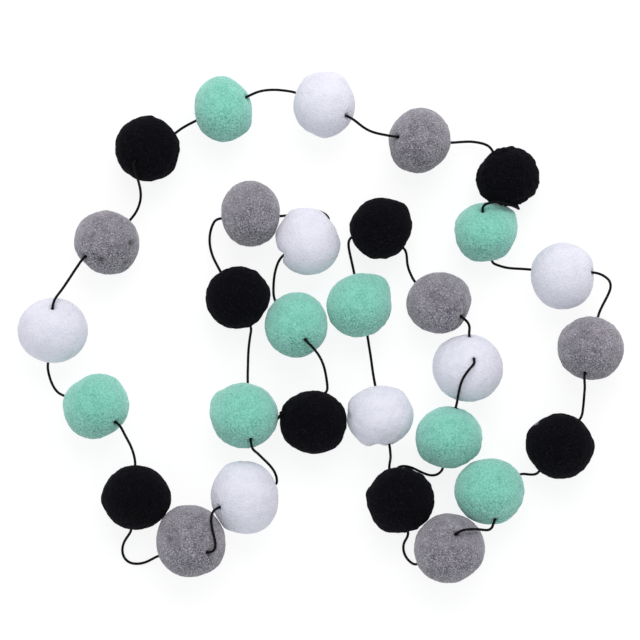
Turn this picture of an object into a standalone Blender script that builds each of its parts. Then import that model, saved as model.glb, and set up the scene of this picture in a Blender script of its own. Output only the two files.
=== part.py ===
"""Felt ball garland: thirty felted wool balls threaded on one black cord, laid out in loops.

Lengths in the tables are millimetres. The surface it lies on is Z = 0, X runs to the right
and Y away from the viewer. A bearing is in degrees from X towards Y, and a tilt is in
degrees above level.
"""

import math
from collections import namedtuple

import bmesh
import bpy
import numpy as np
from mathutils import Vector

MM = 0.001

# Cord and knots
CORD_WIDE = 1.2
KNOT_WIDE = 1.9
KNOT_LONG = 2.6
KNOT_PROUD = 0.8  # the last knot's middle, outside the mouth that it is pulled into

# Cord holes: a straight needle hole with a dimple at each mouth
HOLE_WIDE = 2.0
DIMPLE_WIDE = 4.0
DIMPLE_DEEP = 1.2
CUTTER_PROUD = 3.0
HOLE_STEPS = 8

# Balls
PRESSED = 0.45  # the flat spot that a ball rests on takes this much off its underside
WAVE = 0.3  # slow unevenness of hand-felted wool
WAVES_ROUND = 3.4
WAVE_SHIFTS = (1.3, 2.1, 0.7)  # along X, Y and Z, from one ball to the next, in radians
LUMPS_FROM = -0.85  # lumps fade out between these heights on the underside, in radii
LUMPS_WHOLE = -0.45

# Cord route
STRAIGHT_OUT = 1.2  # the cord stays in line with its hole this far outside a mouth
STRAIGHT_IN = 1.0
BENDS_IN = 0.6
STEPS_A_GAP = 12
EVEN_STEP = 0.6
EASINGS = 14  # rounds of easing, which stand for the cord's stiffness
LEAST_HEIGHT = 0.61  # of the cord's middle, where it lies down
MOST_STRAY = 0.2  # between the route and the straight runs of its tube

BALL_FACETS = 3  # subdivisions of an icosphere
KNOT_FACETS = 2
JOINED = 0.01  # points nearer than this become one

Ball = namedtuple("Ball", "number wool x y wide deep tall entry exit")

# One row for each ball in threading order: its wool, its middle x and y, its sizes along
# X, Y and Z, and the (bearing, tilt) at which the cord enters and leaves it.
BALL_ROWS = (
    ("white", 27.0, -40.2, 30.5, 27.3, 28.0, (-72, 5), (98, -20)),
    ("mint", 17.5, 10.2, 29.5, 28.6, 28.4, (-74, -20), (98, -20)),
    ("black", 27.5, 45.2, 28.0, 27.9, 27.1, (197, -33), (-42, -28)),
    ("grey", 54.0, 11.2, 29.2, 28.2, 27.8, (139, -20), (-33, 30)),
    ("white", 67.0, -18.5, 32.5, 30.5, 30.4, (88, 14), (54, 74)),
    ("mint", 58.4, -49.9, 30.7, 28.2, 28.6, (77, 5), (-100, -20)),
    ("black", 36.5, -78.5, 30.6, 30.4, 29.3, (100, -40), (-76, -20)),
    ("grey", 58.6, -100.4, 32.4, 31.9, 31.7, (207, -20), (68, 59)),
    ("mint", 76.8, -74.5, 31.5, 30.2, 29.7, (-81, 30), (22, -32)),
    ("black", 108.7, -54.0, 30.4, 29.7, 29.7, (232, -15), (52, -15)),
    ("grey", 122.9, -9.4, 30.4, 28.0, 29.0, (255, 31), (76, -15)),
    ("white", 110.0, 23.5, 28.5, 30.1, 28.6, (6, 14), (168, -20)),
    ("mint", 75.3, 43.4, 28.6, 27.3, 27.1, (-78, -15), (101, 39)),
    ("black", 85.2, 68.7, 29.2, 27.0, 27.3, (-72, -10), (120, -15)),
    ("grey", 45.2, 85.0, 28.5, 30.0, 28.4, (-3, -20), (173, 40)),
    ("white", 1.7, 101.3, 28.4, 30.2, 28.1, (-28, 33), (156, -20)),
    ("mint", -44.2, 99.4, 26.3, 30.1, 27.4, (26, 23), (202, -20)),
    ("black", -78.7, 81.2, 29.0, 29.8, 28.8, (30, -15), (228, 56)),
    ("grey", -97.1, 38.7, 29.0, 29.3, 28.4, (45, -20), (215, 33)),
    ("white", -121.7, -1.3, 32.2, 28.8, 29.8, (87, 43), (260, -20)),
    ("mint", -102.1, -35.8, 30.0, 29.5, 28.9, (163, -20), (-37, 31)),
    ("black", -83.6, -77.3, 30.4, 29.7, 29.7, (93, -15), (260, -20)),
    ("grey", -58.9, -97.3, 31.5, 32.9, 31.3, (206, -20), (-26, 52)),
    ("white", -34.6, -77.1, 30.6, 33.0, 30.9, (201, 34), (21, -20)),
    ("mint", -34.8, -40.0, 31.7, 30.2, 30.0, (-74, 39), (83, -20)),
    ("black", -37.6, 13.6, 29.8, 28.3, 28.1, (-66, -15), (124, -15)),
    ("grey", -31.8, 51.8, 26.6, 30.1, 27.5, (189, -15), (-5, -15)),
    ("white", -5.6, 39.0, 28.9, 30.7, 28.9, (46, -35), (208, -10)),
    ("mint", -11.0, 1.1, 28.5, 29.2, 28.3, (132, -20), (-57, 53)),
    ("black", -3.2, -43.0, 30.5, 28.3, 28.5, (68, -15), (163, 18)),
)
BALLS = tuple(Ball(number, *row) for number, row in enumerate(BALL_ROWS, 1))

# Each ball's own swellings (out above 0) and dents (out below 0), as (bearing, out, spread)
# with the spread in degrees. A fourth number draws one out up and down, that many times.
# Where two balls press on each other, one has a dent.
LUMPS = {
    1: ((50, 1.0, 18), (150, 0.8, 16), (176, -0.8, 12), (243, 1.2, 18), (266, -1.7, 10, 1.6), (288, 0.5, 14)),
    2: ((45, 2.3, 22), (118, -0.9, 25)),
    3: ((43, 1.2, 17), (140, -0.8, 26), (335, -0.8, 16)),
    4: ((35, 0.5, 18), (338, -1.1, 22)),
    5: ((145, 0.6, 22), (205, -0.3, 16)),
    6: ((217, 1.1, 22), (335, 0.7, 18)),
    7: ((35, 0.4, 18), (168, 0.9, 14), (236, 0.9, 16)),
    8: ((135, -0.5, 14), (308, -0.8, 24)),
    10: ((0, 0.7, 12), (155, 0.8, 16), (210, -0.7, 22)),
    11: ((150, 0.5, 16), (300, 0.5, 16)),
    12: ((40, 0.7, 24), (115, -0.4, 22), (315, 0.8, 28)),
    13: ((38, 1.6, 20), (150, 0.4, 16), (190, -0.6, 16), (240, 0.6, 18), (338, -1.1, 22)),
    14: ((20, -0.7, 8), (145, -1.4, 24), (217, 0.6, 12), (250, -0.6, 12), (310, -0.4, 14)),
    15: ((140, -0.4, 18), (225, 1.1, 22), (300, -0.9, 26)),
    16: ((60, 1.0, 20), (125, 0.6, 16), (248, -0.6, 16), (270, 0.3, 12)),
    17: ((58, -1.0, 24), (155, 0.5, 20), (245, -0.4, 16), (325, 1.1, 20)),
    18: ((45, -0.6, 18), (90, 0.5, 14), (240, -0.5, 16), (320, 0.7, 18)),
    19: ((65, -0.7, 20), (140, 0.7, 24), (225, -0.9, 22), (305, 0.7, 22)),
    21: ((58, 0.8, 16), (122, -1.2, 24), (228, 0.5, 24), (300, -0.7, 26)),
    22: ((3, 0.4, 16), (180, 0.8, 16)),
    23: ((40, -0.6, 14), (120, 0.7, 30), (285, -0.4, 18), (325, 0.5, 16)),
    24: ((118, 0.8, 18), (240, 0.8, 14), (315, 1.1, 40)),
    25: ((70, -0.8, 10), (147, 1.3, 18), (198, -0.9, 16)),
    26: ((15, 0.5, 14), (55, 0.5, 10), (115, -0.6, 16), (330, -0.9, 16)),
    27: ((310, 0.6, 18),),
    28: ((20, -1.2, 16), (44, -2.0, 14), (118, 1.1, 18), (165, 0.5, 16), (190, -0.7, 14), (206, -2.7, 9, 3.5)),
    29: ((305, -0.5, 22),),
    30: ((145, 0.6, 18), (215, 0.5, 18), (315, 0.9, 20)),
}

# The cord's points between the balls, chosen by eye. Row 0 runs from the cord's first end
# to ball 1, row n from ball n to the next ball, and the last row to the cord's other end.
STRETCHES = (
    (
        (34.0, -70.7, 0.7), (32.8, -68.9, 1.0), (32.0, -67.0, 0.7), (31.3, -64.6, 0.6),
        (31.7, -62.2, 1.0), (32.0, -60.2, 3.2), (32.0, -58.9, 7.5), (31.9, -57.9, 11.5),
        (31.7, -56.3, 14.2),
    ),
    ((24.0, -21.0, 7.5), (23.0, -13.5, 5.5), (22.0, -7.5, 7.5)),
    ((14.5, 29.0, 6.0), (13.6, 33.0, 4.8), (12.9, 36.5, 4.3), (12.8, 39.8, 4.6)),
    ((38.9, 35.4, 6.8), (39.4, 33.2, 6.5), (39.5, 30.4, 6.2), (40.0, 27.2, 6.4), (41.5, 23.6, 7.6)),
    (
        (66.2, 3.2, 21.0), (67.1, 1.9, 19.7), (67.7, 0.5, 17.6), (67.8, -0.8, 16.1),
        (67.6, -2.0, 16.2),
    ),
    (
        (69.1, -16.6, 32.0), (67.6, -18.1, 33.0), (65.7, -20.5, 32.7), (63.9, -23.6, 31.3),
        (62.8, -27.4, 28.7), (62.2, -31.3, 24.6), (62.0, -33.6, 19.5),
    ),
    (
        (55.2, -65.6, 6.5), (53.2, -67.4, 3.0), (50.2, -67.8, 1.0), (46.0, -66.2, 0.6),
        (42.0, -64.2, 0.6), (38.8, -63.4, 1.0), (36.4, -63.5, 2.2), (34.9, -64.2, 3.6),
    ),
    (
        (39.8, -95.4, 8.0), (38.5, -97.7, 4.5), (37.8, -100.7, 1.2), (38.3, -103.5, 0.6),
        (39.5, -105.8, 1.2), (41.4, -107.5, 3.2), (42.9, -108.2, 6.2),
    ),
    (
        (63.9, -91.3, 30.9), (66.2, -91.1, 29.9), (69.0, -91.1, 27.0), (72.0, -91.3, 23.8),
        (75.2, -91.9, 22.2), (77.3, -91.7, 22.4), (78.0, -90.2, 23.0),
    ),
    (
        (89.8, -67.8, 5.0), (90.8, -66.9, 4.8), (92.4, -66.7, 4.9), (94.5, -67.1, 5.2),
        (96.6, -67.3, 6.0), (98.3, -66.9, 8.0),
    ),
    (
        (119.2, -40.5, 9.6), (119.7, -37.0, 9.0), (120.0, -33.5, 10.3), (120.0, -30.0, 14.0),
        (119.9, -27.6, 19.0), (119.7, -25.0, 21.8),
    ),
    (
        (127.3, 7.2, 8.2), (129.3, 11.0, 5.6), (131.3, 14.6, 4.4), (132.6, 18.0, 5.2),
        (131.9, 21.0, 9.0), (129.7, 22.9, 13.8), (127.2, 24.2, 17.2),
    ),
    ((92.7, 26.7, 7.2), (88.4, 26.9, 5.6), (84.2, 27.4, 4.8), (80.8, 28.5, 5.8)),
    (
        (73.8, 55.4, 22.7), (75.4, 56.2, 23.2), (77.7, 56.8, 23.2), (80.4, 56.9, 22.9),
        (83.7, 56.2, 21.8), (86.8, 55.3, 19.8), (89.1, 54.5, 16.9), (90.4, 53.8, 13.6),
    ),
    (
        (77.3, 82.3, 8.8), (75.0, 83.7, 6.4), (72.0, 84.5, 4.4), (68.4, 85.0, 3.2),
        (65.0, 84.8, 3.6), (61.8, 84.5, 6.0),
    ),
    (
        (31.6, 86.7, 23.9), (29.2, 87.2, 22.9), (25.7, 88.0, 20.6), (21.6, 89.5, 18.6),
        (18.2, 91.8, 18.4), (15.4, 94.0, 20.6),
    ),
    (
        (-14.0, 107.8, 6.4), (-17.0, 108.3, 4.6), (-20.5, 108.6, 4.4), (-24.3, 108.3, 7.4),
        (-27.7, 107.4, 12.8), (-30.3, 106.2, 17.6),
    ),
    ((-59.5, 93.0, 6.8), (-61.8, 91.8, 6.0), (-64.0, 90.4, 7.2)),
    (
        (-84.5, 73.7, 26.8), (-83.9, 71.8, 26.0), (-83.1, 68.5, 23.2), (-82.4, 65.4, 17.0),
        (-82.0, 62.4, 10.4), (-82.0, 59.0, 6.8), (-83.0, 55.2, 4.9), (-84.3, 52.4, 5.3),
        (-85.6, 50.6, 7.0),
    ),
    (
        (-109.0, 29.2, 22.2), (-111.2, 26.2, 20.2), (-114.0, 22.1, 18.2), (-116.7, 18.0, 19.0),
        (-118.6, 15.2, 22.0), (-120.2, 12.8, 25.2),
    ),
    (
        (-124.5, -18.8, 6.2), (-124.0, -21.9, 4.3), (-122.9, -25.4, 3.6), (-121.2, -28.4, 4.3),
        (-119.0, -30.4, 6.5),
    ),
    (
        (-90.2, -45.3, 22.4), (-89.0, -48.0, 20.6), (-87.7, -50.8, 17.0), (-86.3, -54.0, 12.4),
        (-85.2, -57.3, 10.2), (-84.6, -59.8, 10.4),
    ),
    (
        (-86.9, -93.8, 7.6), (-88.6, -96.2, 4.4), (-90.3, -99.2, 1.8), (-90.8, -102.6, 0.7),
        (-89.8, -105.7, 0.6), (-87.4, -107.8, 0.6), (-84.2, -108.3, 0.6), (-80.8, -107.8, 0.9),
        (-77.8, -106.4, 2.8), (-75.5, -105.0, 6.0),
    ),
    (
        (-48.1, -101.0, 29.0), (-47.2, -99.4, 29.2), (-47.4, -97.0, 28.9), (-48.3, -93.4, 28.4),
        (-49.1, -90.0, 27.6), (-49.5, -86.8, 26.4), (-49.2, -84.2, 25.5), (-48.4, -82.7, 25.0),
    ),
    (
        (-19.8, -70.6, 7.6), (-20.1, -67.8, 5.4), (-21.5, -65.0, 4.8), (-23.8, -62.2, 6.4),
        (-26.5, -59.4, 11.5), (-28.6, -57.0, 18.0), (-30.4, -55.4, 23.0), (-31.2, -53.9, 24.9),
    ),
    (
        (-33.2, -21.0, 6.4), (-33.1, -16.6, 4.4), (-33.0, -12.0, 3.8), (-32.6, -7.5, 4.6),
        (-32.0, -3.4, 7.0),
    ),
    (
        (-47.2, 28.5, 8.4), (-49.0, 32.0, 5.0), (-50.3, 36.0, 2.4), (-50.8, 40.2, 1.6),
        (-50.3, 44.0, 2.4), (-49.0, 47.4, 5.4), (-47.5, 49.2, 8.8),
    ),
    (
        (-16.0, 51.0, 8.4), (-13.6, 51.3, 5.0), (-11.0, 52.0, 2.0), (-7.5, 52.5, 0.7),
        (-4.0, 53.2, 0.6), (-0.6, 53.2, 0.6), (2.0, 52.1, 1.0), (3.7, 50.4, 2.2),
        (4.0, 48.6, 4.4),
    ),
    (
        (-18.7, 30.8, 11.6), (-20.0, 27.8, 8.4), (-21.0, 24.0, 5.6), (-21.4, 20.2, 4.4),
        (-21.5, 16.6, 4.7), (-21.3, 14.0, 6.4),
    ),
    (
        (-4.7, -7.6, 26.8), (-3.2, -9.3, 25.2), (-1.0, -12.2, 20.4), (0.8, -15.6, 14.8),
        (2.0, -19.3, 10.0), (2.7, -23.0, 7.6), (3.1, -26.0, 7.4), (3.3, -28.5, 8.8),
    ),
    ((-18.6, -40.0, 20.4), (-19.1, -41.5, 21.2)),
)

# Finishes: sRGB colour, 0 to 255, and roughness
FINISHES = {
    "white": ((228, 226, 238), 0.95),
    "mint": ((134, 208, 184), 0.95),
    "grey": ((140, 135, 142), 0.95),
    "black": ((18, 17, 22), 0.95),
    "cord": ((12, 12, 14), 0.6),
}


def toward(bearing, tilt):
    """Unit vector along a bearing and a tilt."""
    turned, raised = math.radians(bearing), math.radians(tilt)
    level = math.cos(raised)
    return np.array([level * math.cos(turned), level * math.sin(turned), math.sin(raised)])


def middle(ball):
    """A ball's middle: half its height up, less what is pressed flat."""
    return np.array([ball.x, ball.y, ball.tall / 2 - PRESSED])


def skin_reach(ball, rays):
    """Distance from a ball's middle to its skin along unit vectors, one a row.

    It is the radius of an ellipsoid, plus a slow wave that differs from ball to ball, plus
    a rounded hump or dent around the direction of each of its lumps. Wave and lumps fade
    out on the underside.
    """
    halves = np.array([ball.wide, ball.deep, ball.tall]) / 2
    reach = 1 / np.linalg.norm(rays / halves, axis=1)
    phase = np.array(WAVE_SHIFTS) * ball.number
    uneven = WAVE * np.sin(WAVES_ROUND * rays + phase).sum(axis=1) / 2
    for bearing, out, spread, *taller in LUMPS.get(ball.number, ()):
        level = rays / [1, 1, *(taller or [1])]
        level = level / np.linalg.norm(level, axis=1)[:, None]
        apart = np.degrees(np.arccos(np.clip(level @ toward(bearing, 0), -1, 1)))
        uneven = uneven + out * np.exp(-((apart / spread) ** 2))
    shown = np.clip((rays[:, 2] - LUMPS_FROM) / (LUMPS_WHOLE - LUMPS_FROM), 0, 1)
    return reach + uneven * shown


def mouth(ball, aim):
    """Where the cord passes a ball's skin, for one (bearing, tilt)."""
    ray = toward(*aim)
    return middle(ball) + ray * skin_reach(ball, ray[None])[0]


def away(start, end):
    """Unit vector from start to end."""
    return (end - start) / np.linalg.norm(end - start)


def cord_stops():
    """Every point that the cord passes: four in line with each hole, and the chosen ones between."""
    stops = [np.array(point) for point in STRETCHES[0]]
    for ball in BALLS:
        entry, leave = mouth(ball, ball.entry), mouth(ball, ball.exit)
        inward = away(entry, leave)
        stops += [entry - inward * STRAIGHT_OUT, entry + inward * STRAIGHT_IN]
        stops += [leave - inward * STRAIGHT_IN, leave + inward * STRAIGHT_OUT]
        stops += [np.array(point) for point in STRETCHES[ball.number]]
    return np.array(stops)


def smooth_curve(stops):
    """A centripetal Catmull-Rom curve through the stops, sampled evenly in each gap.

    Each stop has a time, and the time of a gap is the square root of its length. A point
    between two stops blends the two parabolas through the three stops on either side.
    """
    ends = np.vstack([2 * stops[0] - stops[1], stops, 2 * stops[-1] - stops[-2]])
    gaps = np.sqrt(np.linalg.norm(np.diff(ends, axis=0), axis=1))
    times = np.concatenate([[0], np.cumsum(gaps)])
    curve = [stops[:1]]
    for index in range(1, len(stops)):
        a, b, c, d = ends[index - 1 : index + 3]
        ta, tb, tc, td = times[index - 1 : index + 3]
        now = np.linspace(tb, tc, STEPS_A_GAP + 1)[1:, None]
        ab = a + (b - a) * (now - ta) / (tb - ta)
        bc = b + (c - b) * (now - tb) / (tc - tb)
        cd = c + (d - c) * (now - tc) / (td - tc)
        abc = ab + (bc - ab) * (now - ta) / (tc - ta)
        bcd = bc + (cd - bc) * (now - tb) / (td - tb)
        curve.append(abc + (bcd - abc) * (now - tb) / (tc - tb))
    return np.vstack(curve)


def inside_holes(curve):
    """Whether each point lies within a ball, deeper than its dimple lets the cord bend."""
    held = np.zeros(len(curve), bool)
    for ball in BALLS:
        out = curve - middle(ball)
        reach = np.linalg.norm(out, axis=1)
        held |= reach < skin_reach(ball, out / reach[:, None]) - BENDS_IN
    return held


def eased(curve):
    """The curve at even steps with its sharp turns eased, and none of it lower than it can lie.

    Each point outside the balls moves half way to the mean of its neighbours, round by round.
    """
    run = np.concatenate([[0], np.cumsum(np.linalg.norm(np.diff(curve, axis=0), axis=1))])
    even = np.linspace(0, run[-1], int(run[-1] / EVEN_STEP) + 1)
    points = np.column_stack([np.interp(even, run, curve[:, axis]) for axis in range(3)])
    free = ~inside_holes(points)[1:-1, None]
    for _ in range(EASINGS):
        points[1:-1] += (points[:-2] + points[2:] - 2 * points[1:-1]) / 4 * free
    points[:, 2] = np.maximum(points[:, 2], LEAST_HEIGHT)
    return points


def thinned(curve):
    """The curve's points that its tube needs, so that no straight run strays far from it."""
    kept = [0]
    for end in range(2, len(curve)):
        start = kept[-1]
        passed = curve[start + 1 : end] - curve[start]
        chord = away(curve[start], curve[end])
        stray = np.linalg.norm(passed - np.outer(passed @ chord, chord), axis=1).max(initial=0)
        if stray > MOST_STRAY:
            kept.append(end - 1)
    return curve[kept + [len(curve) - 1]]


def linear(channel):
    """An sRGB channel from 0 to 255 as a linear value."""
    value = channel / 255
    return value / 12.92 if value <= 0.04045 else ((value + 0.055) / 1.055) ** 2.4


def make_material(name):
    colour, roughness = FINISHES[name]
    material = bpy.data.materials.new(name)
    material.use_nodes = True
    shader = material.node_tree.nodes["Principled BSDF"]
    shader.inputs["Base Color"].default_value = (*map(linear, colour), 1)
    shader.inputs["Roughness"].default_value = roughness
    shader.inputs["Metallic"].default_value = 0.0
    material.diffuse_color = shader.inputs["Base Color"].default_value
    return material


def new_object(name, mesh_data, collection):
    made = bpy.data.objects.new(name, mesh_data)
    collection.objects.link(made)
    return made


def hide_cutter(cutter):
    cutter.hide_render = True
    cutter.display_type = "WIRE"


def add_boolean(target, operation, other):
    modifier = target.modifiers.new(other.name, "BOOLEAN")
    modifier.operation = operation
    modifier.object = other


def make_hole_cutter(ball, cutters):
    """A turned needle hole through one ball, flared at both mouths."""
    entry, leave = mouth(ball, ball.entry), mouth(ball, ball.exit)
    half = np.linalg.norm(leave - entry) / 2
    flare = (DIMPLE_WIDE - HOLE_WIDE) / 2 / DIMPLE_DEEP
    rim = DIMPLE_WIDE / 2 + flare * CUTTER_PROUD
    upper = [(0, half + CUTTER_PROUD), (rim, half + CUTTER_PROUD), (HOLE_WIDE / 2, half - DIMPLE_DEEP)]
    profile = upper + [(across, -along) for across, along in reversed(upper)]
    mesh = bpy.data.meshes.new(f"hole_{ball.number:02d}")
    edges = [(index, index + 1) for index in range(len(profile) - 1)]
    mesh.from_pydata([(across * MM, 0, along * MM) for across, along in profile], edges, [])
    cutter = new_object(mesh.name, mesh, cutters)
    cutter.location = (entry + leave) / 2 * MM
    cutter.rotation_euler = Vector(leave - entry).to_track_quat("Z", "Y").to_euler()
    screw = cutter.modifiers.new("turned", "SCREW")
    screw.steps = HOLE_STEPS
    screw.render_steps = HOLE_STEPS
    screw.use_merge_vertices = True
    screw.merge_threshold = JOINED * MM
    hide_cutter(cutter)
    return cutter


def make_ball(ball, material, collection, cutters):
    """One felted ball: a lumpy ball with a flat spot below, holed along the cord."""
    shape = bmesh.new()
    bmesh.ops.create_icosphere(shape, subdivisions=BALL_FACETS, radius=1.0)
    rays = np.array([vert.co.normalized() for vert in shape.verts])
    skin = rays * skin_reach(ball, rays)[:, None] * MM
    for vert, place in zip(shape.verts, skin):
        vert.co = place
    centre = middle(ball) * MM
    whole = shape.verts[:] + shape.edges[:] + shape.faces[:]
    cut = bmesh.ops.bisect_plane(
        shape, geom=whole, plane_co=(0, 0, -centre[2]), plane_no=(0, 0, -1), clear_outer=True
    )
    rim = [part for part in cut["geom_cut"] if isinstance(part, bmesh.types.BMEdge)]
    bmesh.ops.contextual_create(shape, geom=rim)
    bmesh.ops.recalc_face_normals(shape, faces=shape.faces)
    mesh = bpy.data.meshes.new(f"ball_{ball.number:02d}_{ball.wool}")
    shape.to_mesh(mesh)
    shape.free()
    mesh.shade_smooth()
    mesh.materials.append(material)
    made = new_object(mesh.name, mesh, collection)
    made.location = centre
    add_boolean(made, "DIFFERENCE", make_hole_cutter(ball, cutters))


def make_knot(name, place, along, cutters):
    """The cord pulled into a tight knot, as an egg along the cord."""
    mesh = bpy.data.meshes.new(name)
    shape = bmesh.new()
    bmesh.ops.create_icosphere(shape, subdivisions=KNOT_FACETS, radius=KNOT_WIDE / 2 * MM)
    for vert in shape.verts:
        vert.co.z *= KNOT_LONG / KNOT_WIDE
    shape.to_mesh(mesh)
    shape.free()
    knot = new_object(name, mesh, cutters)
    knot.location = place * MM
    knot.rotation_euler = Vector(along).to_track_quat("Z", "Y").to_euler()
    hide_cutter(knot)
    return knot


def make_cord(material, collection, cutters):
    """The one cord that runs through every ball, with a tight knot near each end."""
    route = thinned(eased(smooth_curve(cord_stops())))
    line = bpy.data.curves.new("cord_line", "CURVE")
    line.dimensions = "3D"
    line.bevel_depth = CORD_WIDE / 2 * MM
    line.bevel_resolution = 2
    line.use_fill_caps = True
    spline = line.splines.new("POLY")
    spline.points.add(len(route) - 1)
    spline.points.foreach_set("co", np.column_stack([route * MM, np.ones(len(route))]).ravel())
    tube = new_object("cord_line", line, collection)
    bpy.context.view_layer.update()
    drawn = tube.evaluated_get(bpy.context.evaluated_depsgraph_get())
    mesh = bpy.data.meshes.new_from_object(drawn)
    mesh.name = "cord"
    shape = bmesh.new()
    shape.from_mesh(mesh)
    bmesh.ops.remove_doubles(shape, verts=shape.verts, dist=JOINED * MM)
    shape.to_mesh(mesh)
    shape.free()
    mesh.materials.clear()
    mesh.materials.append(material)
    cord = new_object("cord", mesh, collection)
    cord.matrix_world = tube.matrix_world
    bpy.data.objects.remove(tube)
    last = BALLS[-1]
    leave = mouth(last, last.exit)
    outward = away(mouth(last, last.entry), leave)
    first_end = [np.array(point) for point in STRETCHES[0][:3]]
    knots = (
        make_knot("knot_first", first_end[1], first_end[2] - first_end[0], cutters),
        make_knot("knot_last", leave + outward * KNOT_PROUD, outward, cutters),
    )
    for knot in knots:
        add_boolean(cord, "UNION", knot)


def clear_scene():
    for old in list(bpy.data.objects):
        bpy.data.objects.remove(old)


def main():
    clear_scene()
    garland = bpy.data.collections.new("felt_ball_garland")
    cutters = bpy.data.collections.new("cutters")
    for collection in (garland, cutters):
        bpy.context.scene.collection.children.link(collection)
    materials = {name: make_material(name) for name in FINISHES}
    for ball in BALLS:
        make_ball(ball, materials[ball.wool], garland, cutters)
    make_cord(materials["cord"], garland, cutters)


main()
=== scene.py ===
"""Felt ball garland: the finish of its wool balls and of the cord that carries them.

Tables of places and sizes are in millimetres, and meshes are in metres. A bearing is in
degrees from X towards Y, and a tilt is in degrees above level.
"""

from collections import namedtuple

import bpy
import numpy as np
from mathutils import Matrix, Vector


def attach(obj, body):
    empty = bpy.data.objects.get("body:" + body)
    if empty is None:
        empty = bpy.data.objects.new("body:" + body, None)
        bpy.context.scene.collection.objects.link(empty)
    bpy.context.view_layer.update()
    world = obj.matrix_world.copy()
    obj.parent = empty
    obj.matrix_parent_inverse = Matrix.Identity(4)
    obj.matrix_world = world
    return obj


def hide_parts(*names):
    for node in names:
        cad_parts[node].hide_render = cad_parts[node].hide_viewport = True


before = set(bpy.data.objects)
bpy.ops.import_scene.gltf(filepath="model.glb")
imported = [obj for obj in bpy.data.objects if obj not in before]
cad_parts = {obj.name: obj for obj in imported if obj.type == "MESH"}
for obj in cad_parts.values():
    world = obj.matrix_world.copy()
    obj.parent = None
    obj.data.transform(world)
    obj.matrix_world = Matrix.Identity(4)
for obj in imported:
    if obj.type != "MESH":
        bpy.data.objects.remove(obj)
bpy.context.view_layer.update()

# The table
# The garland lies on a white table under one wide soft light at its far edge and a bright,
# even room. The camera hangs straight above. None of this is part of the object.
MM = 0.001
VIEW_MIDDLE = (-0.0002, 0.0034)
VIEW_WIDE = 0.2909  # of what the picture holds at the level of the balls' middles
BALL_LEVEL = 0.015
CAMERA_HEIGHT = 2.0
TABLE_WIDE = 6.0
TABLE_DROP = 0.00005  # keeps the table's face apart from the flat spots on it
TABLE_WHITE = 0.2
TABLE_GLOW = 0.84  # the light that comes up through a lit table
ROOM_COLOUR = (0.965, 0.975, 1.0)
ROOM_LIGHT = 0.66

Lamp = namedtuple("Lamp", "name place wide watts colour")
LAMPS = (
    Lamp("far_light", (0.15, 1.15, 1.25), 1.3, 17.0, (1.0, 0.985, 1.0)),
    Lamp("near_light", (-0.4, -1.2, 0.55), 1.2, 2.2, (0.80, 1.0, 0.98)),
)

scene = bpy.context.scene
scene.view_settings.view_transform = "Standard"

camera_lens = bpy.data.cameras.new("view_from_above")
camera_lens.lens = camera_lens.sensor_width * (CAMERA_HEIGHT - BALL_LEVEL) / VIEW_WIDE
camera = bpy.data.objects.new("view_from_above", camera_lens)
camera.location = (*VIEW_MIDDLE, CAMERA_HEIGHT)
scene.collection.objects.link(camera)
scene.camera = camera

for lamp in LAMPS:
    light = bpy.data.lights.new(lamp.name, "AREA")
    light.size = lamp.wide
    light.energy = lamp.watts
    light.color = lamp.colour
    hung = bpy.data.objects.new(lamp.name, light)
    hung.location = lamp.place
    hung.rotation_euler = Vector(lamp.place).to_track_quat("Z", "Y").to_euler()
    scene.collection.objects.link(hung)

room = bpy.data.worlds.new("bright_room")
room.use_nodes = True
room.node_tree.nodes["Background"].inputs["Color"].default_value = (*ROOM_COLOUR, 1)
room.node_tree.nodes["Background"].inputs["Strength"].default_value = ROOM_LIGHT
scene.world = room

table_mesh = bpy.data.meshes.new("white_table")
edge = TABLE_WIDE / 2
corners = [(-edge, -edge), (edge, -edge), (edge, edge), (-edge, edge)]
table_mesh.from_pydata([(x, y, -TABLE_DROP) for x, y in corners], [], [(0, 1, 2, 3)])
table = bpy.data.objects.new("white_table", table_mesh)
scene.collection.objects.link(table)

table_white = bpy.data.materials.new("white_table")
table_white.use_nodes = True
table_shader = table_white.node_tree.nodes["Principled BSDF"]
table_shader.inputs["Base Color"].default_value = (TABLE_WHITE, TABLE_WHITE, TABLE_WHITE, 1)
table_shader.inputs["Roughness"].default_value = 0.9
table_shader.inputs["Specular IOR Level"].default_value = 0.0
table_shader.inputs["Emission Color"].default_value = (1, 1, 1, 1)
table_shader.inputs["Emission Strength"].default_value = TABLE_GLOW
table_mesh.materials.append(table_white)

# The balls' places and forms
# Each ball is a handful of wool fleece, rolled wet and soapy until it felts into a firm,
# slightly uneven ball. It rests on a spot that its weight has pressed flat, and a needle
# has carried the cord through it from its entry mouth to its exit mouth.
PRESSED = 0.45  # the flat spot takes this much off a ball's underside
WAVE = 0.3  # slow unevenness of hand-felted wool
WAVES_ROUND = 3.4
WAVE_SHIFTS = (1.3, 2.1, 0.7)  # along X, Y and Z, from one ball to the next, in radians
LUMPS_FROM = -0.85  # lumps fade out between these heights on the underside, in radii
LUMPS_WHOLE = -0.45

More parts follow.
